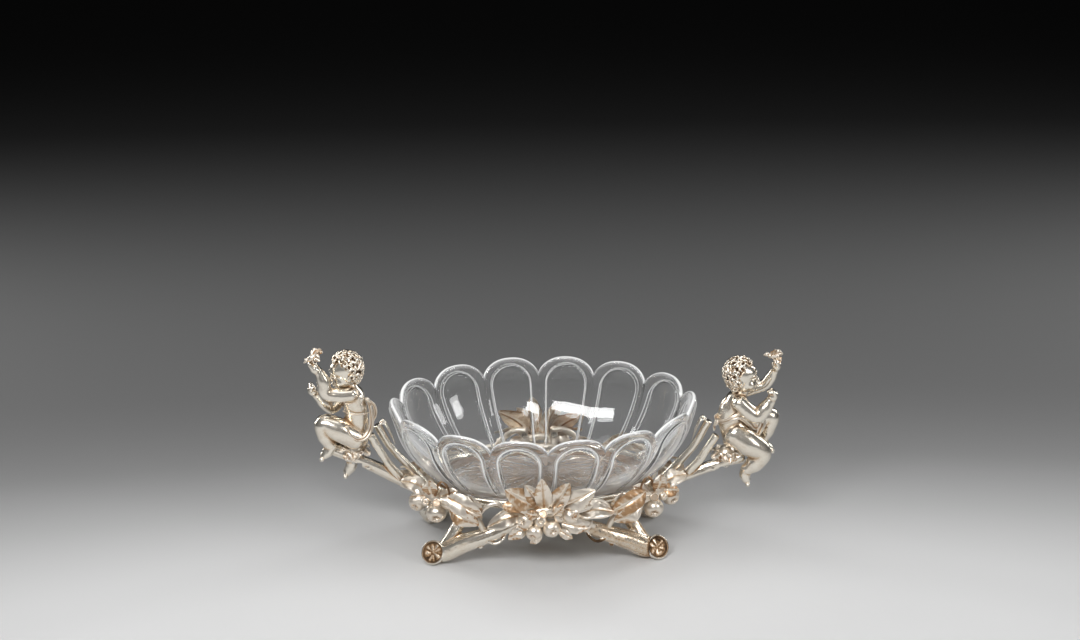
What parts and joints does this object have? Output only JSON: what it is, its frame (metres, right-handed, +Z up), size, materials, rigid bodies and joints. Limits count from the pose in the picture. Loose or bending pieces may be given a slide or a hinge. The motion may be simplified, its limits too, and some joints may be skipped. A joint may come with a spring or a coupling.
{
  "type": "table centerpiece",
  "caption": "Oval petalled glass bowl, loose in a silver-plated branch stand with forked legs, leaf and fruit sprays and two branch handles with seated cherubs.",
  "frame": {"origin": "on the table, under the middle of the bowl", "axes": "+X along the bowl to the lower handle, +Y to the rear, +Z up"},
  "size_m": [0.4702, 0.193, 0.2177],
  "materials": {
    "clear_glass": "clear moulded glass, fire polished",
    "polished_silver": "silver plated brass, polished, with brown tarnish left in the hollows",
    "frosted_silver": "silver plated brass, matted leaves and fruit with polished edges",
    "fastener_steel": "plain slotted screws, bolts and nuts"
  },
  "bodies": {
    "stand": {"tray": "polished_silver", "rear_right_leg": "polished_silver", "rear_left_leg": "polished_silver", "front_left_leg": "polished_silver", "front_right_leg": "polished_silver", "left_handle": "polished_silver", "left_handle_blade": "polished_silver", "left_cherub": "polished_silver", "right_handle": "polished_silver", "right_handle_blade": "polished_silver", "right_cherub": "polished_silver", "rear_right_fruit_twig": "frosted_silver", "rear_right_leaves": "frosted_silver", "rear_left_fruit_twig": "frosted_silver", "rear_left_leaves": "frosted_silver", "front_left_fruit_twig": "frosted_silver", "front_left_leaves": "frosted_silver", "front_right_fruit_twig": "frosted_silver", "front_right_leaves": "frosted_silver", "front_spray_branch": "frosted_silver", "front_spray_leaves": "frosted_silver", "rear_spray_branch": "frosted_silver", "rear_spray_leaves": "frosted_silver", "left_seat_tuft": "frosted_silver", "left_sash": "frosted_silver", "left_bird": "frosted_silver", "right_seat_tuft": "frosted_silver", "right_sash": "frosted_silver", "right_bird": "frosted_silver", "rear_right_leg_inner_screw": "fastener_steel", "rear_right_leg_outer_screw": "fastener_steel", "rear_left_leg_inner_screw": "fastener_steel", "rear_left_leg_outer_screw": "fastener_steel", "front_left_leg_inner_screw": "fastener_steel", "front_left_leg_outer_screw": "fastener_steel", "front_right_leg_inner_screw": "fastener_steel", "front_right_leg_outer_screw": "fastener_steel", "front_spray_left_screw": "fastener_steel", "front_spray_right_screw": "fastener_steel", "rear_spray_left_screw": "fastener_steel", "rear_spray_right_screw": "fastener_steel", "left_handle_bolt": "fastener_steel", "left_handle_nut": "fastener_steel", "left_cherub_screw": "fastener_steel", "right_handle_bolt": "fastener_steel", "right_handle_nut": "fastener_steel", "right_cherub_screw": "fastener_steel"},
    "bowl": {"glass_bowl": "clear_glass"}
  },
  "joints": [
    {"name": "bowl_lift", "type": "slide", "parent": "stand", "child": "bowl", "axis": [0, 0, 1], "range_m": [0, 0.16]}
  ]
}
